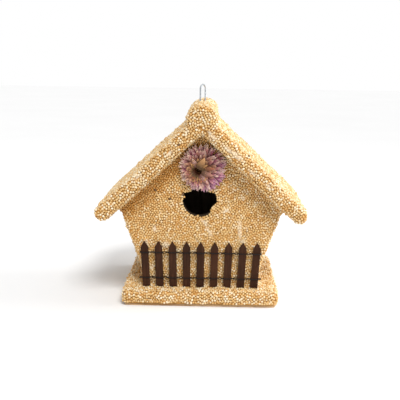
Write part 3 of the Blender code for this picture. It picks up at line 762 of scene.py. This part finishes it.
def bedding_tree(look):
    """Geometry Nodes: one small glossy grain bedded at each point, lying along the surface."""
    sizes = ("Grain Width", "Grain Length", "Grain Flatness", "Size Spread", "Tilt")
    tree, nodes, given = new_tree("Seed Bedding", {**dict.fromkeys(sizes, "Float"), "Seed": "Int"})

    ball = nodes.add(
        "GeometryNodeMeshUVSphere", {"Segments": GRAIN_SIDES, "Rings": GRAIN_RINGS, "Radius": 0.5}
    )
    x, y, z = nodes.add(
        "ShaderNodeSeparateXYZ", {0: nodes.make("GeometryNodeInputPosition")}
    ).outputs
    up = nodes.math("ADD", z, 0.5)
    taper = nodes.math("SUBTRACT", 1.10, nodes.times(nodes.math("POWER", up, 2.0), 0.34))
    shaped = nodes.vector(
        nodes.times(z, given["Grain Length"]),
        nodes.times(x, taper),
        nodes.times(nodes.times(y, taper), given["Grain Flatness"]),
    )
    store = "GeometryNodeStoreNamedAttribute"
    cell = {"Geometry": ball.outputs[0], "Name": "cell", "Value": ball.outputs[1]}
    grain = nodes.make(store, cell, data_type="FLOAT_VECTOR", domain="CORNER")
    germ = {"Geometry": grain, "Name": "germ", "Value": nodes.math("POWER", up, 6.0)}
    grain = nodes.make(store, germ, data_type="FLOAT", domain="POINT")
    grain = nodes.make("GeometryNodeSetPosition", {"Geometry": grain, "Position": shaped})
    grain = nodes.make("GeometryNodeFlipFaces", {0: grain})
    grain = nodes.make("GeometryNodeSetShadeSmooth", {0: grain})

    def chance(low, high, step):
        values = {2: low, 3: high, "Seed": nodes.math("ADD", given["Seed"], float(step))}
        return nodes.make("FunctionNodeRandomValue", values, 1, data_type="FLOAT")

    bedding = {"Vector": nodes.stored("bedding", "FLOAT_VECTOR")}
    upright = nodes.make("FunctionNodeAlignRotationToVector", bedding, axis="Z")
    tilt = [nodes.times(chance(-1.0, 1.0, step), given["Tilt"]) for step in (1, 2)]
    lean = nodes.vector(*tilt, chance(0.0, math.tau, 3))
    leaning = nodes.make("FunctionNodeEulerToRotation", {0: lean})
    turned = nodes.make(
        "FunctionNodeRotateRotation", {0: upright, 1: leaning}, rotation_space="LOCAL"
    )
    bigness = nodes.math("ADD", 1.0, nodes.times(chance(-1.0, 1.0, 4), given["Size Spread"]))
    width = nodes.times(bigness, given["Grain Width"])
    size = nodes.vector(nodes.times(width, chance(0.88, 1.16, 5)), width, width)
    grains = nodes.make(
        "GeometryNodeInstanceOnPoints",
        {"Points": given["Geometry"], "Instance": grain, "Rotation": turned, "Scale": size},
    )
    real = nodes.make("GeometryNodeRealizeInstances", {0: grains})
    done = nodes.make("GeometryNodeSetMaterial", {"Geometry": real, "Material": look})
    nodes.add("NodeGroupOutput", {0: done})
    return tree


def painted_light_tone_shift(points, owner):
    """Grain tone shifts: painted sheen on outer faces, paler low front wall, painted shade under the
    eaves.
    """
    front = owner == FRONT
    # Painted sheen: grains off the front wall, on the base, sides, roofs and ridge, are made paler.
    shift = np.where(front, -0.01, 0.10)
    # The front wall's grains turn paler towards its bottom.
    shift += 0.14 * front * np.clip((72.0 * MM - points[:, 2]) / (25.0 * MM), 0.0, 1.0)
    # Painted shade: front-wall grains close under the roof's eaves are made deeper, most on the
    # left; under the right eave they turn a little paler.
    eaves = GABLE_TOP - np.abs(points[:, 0] - HOLE_X) * math.tan(ROOF_PITCH) - points[:, 2]
    left = np.clip(0.5 - points[:, 0] / (40.0 * MM), 0.0, 1.0)
    deep = (0.55 * left - 0.05) * front
    return shift - deep * np.clip((22.0 * MM - eaves) / (14.0 * MM), 0.0, 1.0)


def grain_tones(points, owner, rng):
    """A tone for each grain: mostly cream, some golden, some pale and a rare dark one."""
    count = len(points)
    tone = np.clip(rng.normal(0.52, 0.22, count), 0.08, 1.0)
    kind = rng.random(count)
    tone = np.where(kind < GOLDEN_SHARE, rng.uniform(0.06, 0.25, count), tone)
    tone = np.where(kind > 1.0 - PALE_SHARE, rng.uniform(0.88, 1.0, count), tone)
    # Grains on the front wall differ less from each other; painted sheen and painted shade are then
    # added by place.
    tone = np.where(owner == FRONT, 0.50 + 0.7 * (tone - 0.50), tone) + painted_light_tone_shift(points, owner)
    return np.where(kind < DARK_SHARE, 0.004, np.clip(tone, 0.05, 1.0))


def bake_cells(mesh):
    """Give each grain its own square of the bake map."""
    cell = read(mesh.attributes["cell"].data, "vector", 3)[:, :2]
    grains = len(mesh.polygons) // GRAIN_FACES
    side = math.ceil(math.sqrt(grains))
    corners = len(mesh.loops) // grains
    which = np.repeat(np.arange(grains), corners)
    inset = 0.06
    spot = inset + np.clip(cell, 0.0, 1.0) * (1.0 - 2.0 * inset)
    layer = mesh.uv_layers.new(name="OFBake")
    place = (spot + np.stack((which % side, which // side), 1)) / side
    layer.data.foreach_set("uv", place.astype(np.float32).ravel())
    mesh.attributes.remove(mesh.attributes["cell"])


def in_joint(points):
    """Which points lie in the open joint line of the roof boards."""
    (x0, z0), (x1, z1) = JOINT_LINE
    start = np.array((x0, z0)) * MM
    run = np.array((x1 - x0, z1 - z0)) * MM
    flat = points[:, (0, 2)] - start
    share = np.clip(flat @ run / (run @ run), 0.0, 1.0)
    apart = np.linalg.norm(flat - share[:, None] * run, axis=1)
    return (apart < JOINT_HALF) & (np.abs(points[:, 1] - FASCIA_FACE) < 6.0 * MM)


def shaken(points, binder, settings):
    """Points pushed apart until they lie evenly, kept on the seeded surface, and its direction."""
    surface = BVHTree.FromPolygons(
        [vertex.co.copy() for vertex in binder.vertices],
        [tuple(face.vertices) for face in binder.polygons],
    )
    seeded = read(binder.attributes["seeded"].data, "value", 1, bool)
    spots = [Vector(point) for point in points]
    reach = settings.reach
    for _ in range(settings.rounds):
        near = KDTree(len(spots))
        for i, spot in enumerate(spots):
            near.insert(spot, i)
        near.balance()
        moved = []
        for spot in spots:
            push = Vector()
            for other, _, apart in near.find_range(spot, reach):
                if apart > 0.0:
                    push += (spot - other) * (reach / apart - 1.0)
            place, _, face, _ = surface.find_nearest(spot + 0.30 * push)
            moved.append(place if seeded[face] else spot)
        spots = moved
    bedding = [surface.find_nearest(spot)[1] for spot in spots]
    return np.array(spots), np.array(bedding)


def seed_points(binder, settings):
    """Where grains lie: places, surface directions, smear and the coat each belongs to."""
    values = {
        "Closest Spacing": settings.spacing,
        "Trial Density": settings.trials,
        "Seed": settings.random_seed,
    }
    points = read(evaluated(binder, (scatter_tree(), values)).vertices, "co", 3)
    points, bedding = shaken(points, binder, settings)
    smear = smear_at(points)
    rng = np.random.default_rng(settings.random_seed)
    keep = (rng.random(len(points)) > smear * 0.30) & ~in_joint(points)
    points, bedding, smear = points[keep], bedding[keep], smear[keep]
    coats, owners = surface_tree(COATS)
    owner = np.array([owners[coats.find_nearest(Vector(point))[2]] for point in points])

    lift = rng.normal(SEAT, SEAT_SPREAD, len(points)) - smear * SEAT_UNDER_SMEAR
    lift += OUTER_STEP * (owner != FRONT)
    behind_fence = (points[:, 1] < FRONT_FACE + 4.0 * MM) & (points[:, 2] < FENCE_TOP)
    proud = rng.random(len(points)) > 1.0 - PROUD_SHARE
    lift += PROUD_HEIGHT * proud * ~behind_fence
    lift -= SEAT_BEHIND_FENCE * behind_fence * (points[:, 2] > BASE_TOP)
    points = points + bedding * lift[:, None]

    # The grains next to the hole give way to the ones set round its rim.
    rim, leaning = rim_grains(settings, rng)
    apart = np.hypot(points[:, 0] - HOLE_X, points[:, 2] - HOLE_Z)
    clear = (apart > HOLE_RADIUS + 2.6 * MM) | (points[:, 1] > FRONT_FACE + 5.0 * MM)
    points = np.vstack((points[clear], rim))
    bedding = np.vstack((bedding[clear], leaning))
    smear = np.append(smear[clear], np.zeros(len(rim)))
    owner = np.append(owner[clear], np.full(len(rim), FRONT))
    # No grain reaches below the floor.
    points[:, 2] = np.maximum(points[:, 2], settings.grain_width * 0.56)
    return points, bedding, smear, owner


def seed_pieces(points, owner):
    """Name, coat and grains of each piece of seed."""
    for number, coat in enumerate(COATS):
        mine = owner == number
        name = coat.replace("_seed_coat", "_seeds")
        if coat.startswith(("left_roof", "right_roof")):
            yield name + "_front", coat, mine & (points[:, 1] < 0.0)
            yield name + "_back", coat, mine & (points[:, 1] >= 0.0)
        else:
            yield name, coat, mine


class BIRDHOUSE_OT_seed_coat(bpy.types.Operator):
    """Build the binder and bed the millet grains in it"""

    bl_idname = "birdhouse.seed_coat"
    bl_label = "Seed Coat"

    def execute(self, context):
        settings = context.scene.birdhouse_seed
        binder = build_binder(settings)
        points, bedding, smear, owner = seed_points(binder.copy(), settings)
        binder.shade_smooth()
        add_piece("seed_binder", binder, binder_look(settings), "millet_seed", *COATS)
        look = millet_look(settings)
        tree = bedding_tree(look)
        tone = grain_tones(points, owner, np.random.default_rng(settings.random_seed + 1))
        for number, (name, coat, mine) in enumerate(seed_pieces(points, owner)):
            spots = bpy.data.meshes.new(name)
            spots.vertices.add(int(mine.sum()))
            spots.vertices.foreach_set("co", points[mine].ravel())
            set_attribute(spots, "bedding", bedding[mine], "FLOAT_VECTOR")
            set_attribute(spots, "tone", tone[mine])
            set_attribute(spots, "smear", smear[mine])
            values = {
                "Grain Width": settings.grain_width,
                "Grain Length": settings.grain_length,
                "Grain Flatness": 0.94,
                "Size Spread": settings.grain_spread,
                "Tilt": 0.42,
                "Seed": settings.random_seed + 20 * number,
            }
            mesh = evaluated(spots, (tree, values))
            bake_cells(mesh)
            mesh.attributes.remove(mesh.attributes["bedding"])
            add_piece(name, mesh, look, "millet_seed", coat)
        return {"FINISHED"}


# ---------------------------------------------------------------- dried flower
# How far the flower's back lies in front of the middle of the house, and how far over its back a
# bract may rise, in millimetres.
FLOWER_BACK = 59.5
BRACT_RISE = 10.4
# Middle of the outer bracts, and of the seed head in the open heart: x and z.
FLOWER_CENTRE = (1.0 * MM, 134.0 * MM)
HEART_CENTRE = (-4.0 * MM, 130.6 * MM)
# Seed head: number of florets, then in millimetres how far out they stand and their radius, and
# their shares of height and width from root to tip.
FLORETS = 96
HEART_REACH = 5.6
FLORET_RADIUS = 0.52
FLORET_SIDES = 6
FLORET_RINGS = ((0.0, 1.0), (0.65, 1.15), (1.0, 0.45))
GOLDEN_ANGLE = math.pi * (3.0 - math.sqrt(5.0))
# Whorls from the back to the front: number of bracts, then root and tip radius, root and tip
# height, width, cup, curl, fold and how straw coloured they are, from 0 to 1.
WHORLS = (
    (40, (7.0, 23.9, 0.3, 1.2, 3.7, 0.25, 0.0, 0.0, 0.00)),
    (40, (7.0, 23.4, 0.7, 2.8, 3.6, 0.30, 0.0, 0.0, 0.00)),
    (38, (6.5, 22.0, 1.2, 4.4, 3.4, 0.40, 0.2, 0.0, 0.05)),
    (36, (6.0, 19.8, 1.8, 5.8, 3.2, 0.50, 0.4, 0.0, 0.20)),
    (32, (5.5, 17.0, 2.4, 6.8, 3.0, 0.55, 0.8, 0.0, 0.50)),
    (28, (4.6, 13.8, 2.8, 7.0, 2.6, 0.60, 1.4, 0.0, 0.85)),
    (22, (3.8, 10.2, 2.8, 6.6, 2.2, 0.60, 1.8, 0.0, 0.95)),
)
# Large creased bracts round the open heart: turn in degrees, then the same figures as above.
CREASED = (
    (64, (2.6, 16.6, 5.0, 8.8, 11.0, 0.0, 0.4, 0.42, 1.00)),
    (20, (4.0, 19.0, 4.6, 8.6, 8.0, 0.0, 0.4, 0.50, 0.75)),
    (40, (3.6, 13.0, 5.6, 9.6, 5.0, 0.0, 0.4, -0.50, 0.95)),
    (-14, (4.0, 16.5, 4.8, 8.8, 7.5, 0.0, 0.4, 0.50, 0.80)),
    (-50, (4.0, 16.0, 4.2, 7.8, 7.0, 0.0, 0.4, 0.45, 0.50)),
    (106, (4.0, 15.0, 4.0, 7.4, 6.5, 0.0, 0.4, 0.45, 0.35)),
    (135, (4.0, 11.0, 4.0, 7.6, 3.4, 0.0, 0.8, 0.60, 1.00)),
    (168, (4.4, 10.0, 3.8, 7.2, 2.6, 0.0, 0.8, 0.60, 1.00)),
    (205, (4.2, 9.6, 3.6, 7.0, 2.4, 0.0, 0.8, 0.60, 1.00)),
    (240, (4.0, 10.6, 3.6, 7.4, 2.8, 0.0, 0.8, 0.60, 1.00)),
    (275, (4.0, 9.8, 3.6, 7.0, 2.4, 0.0, 0.8, 0.60, 1.00)),
    (305, (4.2, 11.4, 3.8, 7.4, 3.2, 0.0, 0.8, 0.60, 0.90)),
)


def bract(shape, layers, rng, turn, figures, centre):
    """One papery bract: a pointed leaf, cupped or creased, from the heart of the flower outwards."""
    root, tip, low, high, width, cup, curl, fold, inner = figures
    tip *= rng.uniform(0.92, 1.02)
    high *= rng.uniform(0.62, 1.12)
    width *= rng.uniform(0.75, 1.25)
    twist = rng.uniform(-0.8, 0.8) * (0.3 if fold else 1.0)
    swing = rng.uniform(-0.26, 0.26)
    tone = (0.2 if inner > 0.9 else 0.8) if fold else rng.random()
    inner = min(1.0, max(0.0, inner + rng.uniform(-0.2, 0.25)))
    along_steps, across_steps = 7, 4
    rows = []
    for i in range(along_steps + 1):
        t = i / along_steps
        reach = root + (tip - root) * t - curl * t ** 3
        height = low + (high - low) * (t ** 1.25) + curl * 0.35 * t ** 2
        leaf = max(0.0, math.sin(math.pi * (0.16 + 0.84 * t))) ** 0.60
        spade = min(1.0, 0.45 + 2.4 * t) * (1.0 - t) ** 0.8
        half = width / 2.0 * (spade if fold else leaf)
        row = []
        for j in range(across_steps + 1):
            s = 2.0 * j / across_steps - 1.0
            side = half * s
            rise = cup * half * s * s + fold * half * (1.0 - abs(s)) + twist * side * t
            angle = turn + swing * t
            x = reach * math.cos(angle) - side * math.sin(angle)
            z = reach * math.sin(angle) + side * math.cos(angle)
            y = FLOWER_BACK + min(height + rise, BRACT_RISE)
            row.append(shape.verts.new((centre[0] + x * MM, -y * MM, centre[1] + z * MM)))
        rows.append(row)
    for near, far in zip(rows, rows[1:]):
        for j in range(across_steps):
            face = shape.faces.new((near[j], near[j + 1], far[j + 1], far[j]))
            face.smooth = not fold
    for i, row in enumerate(rows):
        for vertex in row:
            vertex[layers["along"]] = i / along_steps
            vertex[layers["tone"]] = tone
            vertex[layers["inner"]] = inner


def build_bracts(settings):
    """All the bracts, as thin closed leaves."""
    rng = np.random.default_rng(settings.random_seed)
    shape = bmesh.new()
    layers = {key: shape.verts.layers.float.new(key) for key in ("along", "tone", "inner")}
    for number, (count, figures) in enumerate(WHORLS):
        share = max(0.0, number - 2.0) / (len(WHORLS) - 3.0)
        centre = [a + (b - a) * share for a, b in zip(FLOWER_CENTRE, HEART_CENTRE)]
        for i in range(count):
            turn = math.tau * (i + 0.5 * (number % 2)) / count + rng.uniform(-0.10, 0.10)
            bract(shape, layers, rng, turn, figures, centre)
    for degrees, figures in CREASED:
        bract(shape, layers, rng, math.radians(degrees), figures, HEART_CENTRE)
    leaves = mesh_from(shape, "strawflower_bracts")
    return evaluated(leaves, ("SOLIDIFY", {"thickness": settings.bract_thickness, "offset": 0.0}))


def build_heart(settings):
    """Seed head of small pointed florets set in a spiral."""
    rng = np.random.default_rng(settings.random_seed + 5)
    shape = bmesh.new()
    layer = shape.verts.layers.float.new("along")
    foot = FLOWER_BACK + 0.4
    for i in range(FLORETS):
        share = math.sqrt((i + 0.5) / FLORETS)
        height = rng.uniform(1.8, 3.4) + 0.8 * share
        x = HEART_REACH * share * math.cos(GOLDEN_ANGLE * i)
        z = HEART_REACH * share * math.sin(GOLDEN_ANGLE * i)
        lean_x, lean_z = 0.25 * x + rng.uniform(-0.3, 0.3), 0.25 * z + rng.uniform(-0.3, 0.3)
        rings = []
        for t, width in FLORET_RINGS:
            ring = []
            for k in range(FLORET_SIDES):
                angle = math.tau * k / FLORET_SIDES
                east = x + lean_x * t + FLORET_RADIUS * width * math.cos(angle)
                north = z + lean_z * t + FLORET_RADIUS * width * math.sin(angle)
                y = -(foot + height * t) * MM
                spot = (HEART_CENTRE[0] + east * MM, y, HEART_CENTRE[1] + north * MM)
                vertex = shape.verts.new(spot)
                vertex[layer] = t
                ring.append(vertex)
            rings.append(ring)
        for near, far in zip(rings, rings[1:]):
            for k in range(FLORET_SIDES):
                m = (k + 1) % FLORET_SIDES
                shape.faces.new((near[k], near[m], far[m], far[k]))
        shape.faces.new(rings[0][::-1])
        shape.faces.new(rings[-1])
    bmesh.ops.recalc_face_normals(shape, faces=shape.faces)
    return mesh_from(shape, "strawflower_heart")


class BIRDHOUSE_OT_flower(bpy.types.Operator):
    """Build the dried strawflower glued above the entry hole"""

    bl_idname = "birdhouse.flower"
    bl_label = "Dried Flower"

    def execute(self, context):
        settings = context.scene.birdhouse_flower
        bracts, heart = build_bracts(settings), build_heart(settings)
        papery, seedy = bract_look(settings), heart_look(settings)
        add_piece("strawflower_bracts", bracts, papery, "dried_bracts", "flower_bracts")
        add_piece("strawflower_heart", heart, seedy, "seed_head", "flower_disc")
        finish_nodes(glue_look(), "flower_glue")
        return {"FINISHED"}


# ---------------------------------------------------------------- fence, metal and bare wood
def named(part):
    """The packed parts whose names hold some words."""
    return [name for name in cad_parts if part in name]


class BIRDHOUSE_OT_fence(bpy.types.Operator):
    """Finish the fence: stained pickets and twisted black wire"""

    bl_idname = "birdhouse.fence"
    bl_label = "Picket Fence"

    def execute(self, context):
        settings = context.scene.birdhouse_finish
        finish_nodes(stain_look(settings), *named("picket_"))
        finish_nodes(wire_look(settings), *named("fence_wire_"))
        return {"FINISHED"}


class BIRDHOUSE_OT_metal(bpy.types.Operator):
    """Finish the hanger, the clean-out cover, its screw and the brads"""

    bl_idname = "birdhouse.metal"
    bl_label = "Metal Parts"

    def execute(self, context):
        settings = context.scene.birdhouse_finish
        wire = metal_look("galvanised_wire", settings.zinc, 0.22, 0.42, 900.0, 0.3)
        finish_nodes(wire, "hanger_loop")
        sheet = metal_look("galvanised_sheet", settings.zinc, 0.30, 0.55, 260.0, 0.8)
        finish_nodes(sheet, "clean_out_cover")
        steel = metal_look("bright_steel", settings.steel, 0.25, 0.45, 700.0, 0.1)
        finish_nodes(steel, "clean_out_screw", *named("_brad_"))
        return {"FINISHED"}


class BIRDHOUSE_OT_bare_wood(bpy.types.Operator):
    """Finish the boards that are left bare inside and underneath"""

    bl_idname = "birdhouse.bare_wood"
    bl_label = "Bare Wood"

    def execute(self, context):
        settings = context.scene.birdhouse_finish
        # Painted shade: the boards inside the house take the darkened pine colour.
        shaded = settings.shaded_pine
        upright = pine_look(shaded, "pine_upright", "Z")
        finish_nodes(upright, "back_wall", "left_side_wall", "right_side_wall")
        lengthways = pine_look(shaded, "pine_lengthways", "Y")
        finish_nodes(lengthways, "left_roof_board", "right_roof_board", "ridge_log")
        # The front wall's board only shows as the edge of the hole, and its pine is darkened further
        # there as painted shade.
        finish_nodes(pine_look(scaled(shaded, 0.35), "pine_front", "Z"), "front_wall")
        finish_nodes(pine_look(settings.pine, "pine_across", "X"), "base_board")
        return {"FINISHED"}


# ---------------------------------------------------------------- stage
FLOOR_HALF = 6.0
HOUSE_MIDDLE = Vector((0.0, 0.0, 0.1))
KEY_PLACE = Vector((0.32, -0.84, 1.16))
SIDE_PLACE = Vector((0.85, 0.06, 0.50))
SIDE_SIZE = 0.4


def aim_camera(settings):
    """The camera, turned, dipped and leaned."""
    place = Matrix.Translation(settings.eye)
    upright = math.pi / 2.0 - settings.dip
    for angle, axis in ((settings.turn, "Z"), (upright, "X"), (settings.lean, "Z")):
        place = place @ Matrix.Rotation(angle, 4, axis)
    lens = bpy.data.cameras.new("camera")
    lens.lens = settings.lens
    lens.sensor_width = 36.0
    lens.clip_start = 0.01
    camera = add_object("camera", lens)
    camera.matrix_world = place
    bpy.context.scene.camera = camera


def add_lamp(kind, name, place, **settings):
    """A light that faces the middle of the house."""
    lamp = bpy.data.lights.new(name, kind)
    for key, value in settings.items():
        setattr(lamp, key, value)
    made = add_object(name, lamp)
    made.location = place
    made.rotation_euler = (HOUSE_MIDDLE - place).to_track_quat("-Z", "Y").to_euler()


def add_floor(settings):
    """A plain floor, kept out of the object."""
    shape = bmesh.new()
    bmesh.ops.create_grid(shape, x_segments=4, y_segments=4, size=FLOOR_HALF)
    mesh = mesh_from(shape, "floor")
    mesh.materials.append(floor_look(settings))
    add_object("floor", mesh)


def light_room(settings):
    """Even white light all round, behind a white view."""
    world = bpy.data.worlds.new("room")
    world.use_nodes = True
    room = Nodes(world.node_tree)
    seen = room.make("ShaderNodeLightPath", output="Is Camera Ray")
    values = {"Color": (*WHITE, 1.0), "Strength": room.spread(seen, settings.sky, 1.0)}
    room.feed(world.node_tree.nodes["Background"], values)
    bpy.context.scene.world = world
    bpy.context.scene.view_settings.view_transform = "Standard"


class BIRDHOUSE_OT_stage(bpy.types.Operator):
    """Set up the floor, the lights and the camera"""

    bl_idname = "birdhouse.stage"
    bl_label = "Stage"

    def execute(self, context):
        settings = context.scene.birdhouse_stage
        add_floor(settings)
        light_room(settings)
        key = {"energy": settings.key_strength, "angle": settings.key_spread}
        add_lamp("SUN", "key", KEY_PLACE, **key)
        add_lamp("AREA", "side", SIDE_PLACE, energy=settings.side_power, size=SIDE_SIZE)
        aim_camera(settings)
        return {"FINISHED"}


# ---------------------------------------------------------------- panel and registration
SETTINGS = {
    "birdhouse_seed": SeedCoatSettings,
    "birdhouse_flower": FlowerSettings,
    "birdhouse_finish": FinishSettings,
    "birdhouse_stage": StageSettings,
}
STEPS = (
    BIRDHOUSE_OT_bare_wood,
    BIRDHOUSE_OT_seed_coat,
    BIRDHOUSE_OT_fence,
    BIRDHOUSE_OT_metal,
    BIRDHOUSE_OT_flower,
    BIRDHOUSE_OT_stage,
)


class BIRDHOUSE_PT_panel(bpy.types.Panel):
    """The birdhouse's settings and building steps"""

    bl_idname = "BIRDHOUSE_PT_panel"
    bl_label = "Birdhouse"
    bl_space_type = "VIEW_3D"
    bl_region_type = "UI"
    bl_category = "Birdhouse"

    def draw(self, context):
        for step in STEPS:
            self.layout.operator(step.bl_idname)
        for key, group in SETTINGS.items():
            box = self.layout.box()
            box.label(text=group.__doc__)
            for name in group.__annotations__:
                box.prop(getattr(context.scene, key), name)


CLASSES = (*SETTINGS.values(), *STEPS, BIRDHOUSE_PT_panel)


def register():
    for item in CLASSES:
        bpy.utils.register_class(item)
    for key, group in SETTINGS.items():
        setattr(bpy.types.Scene, key, bpy.props.PointerProperty(type=group))


def unregister():
    for key in SETTINGS:
        delattr(bpy.types.Scene, key)
    for item in reversed(CLASSES):
        bpy.utils.unregister_class(item)


def main():
    """Build every piece in order."""
    register()
    for step in STEPS:
        family, name = step.bl_idname.split(".")
        getattr(getattr(bpy.ops, family), name)()


if __name__ == "__main__":
    main()
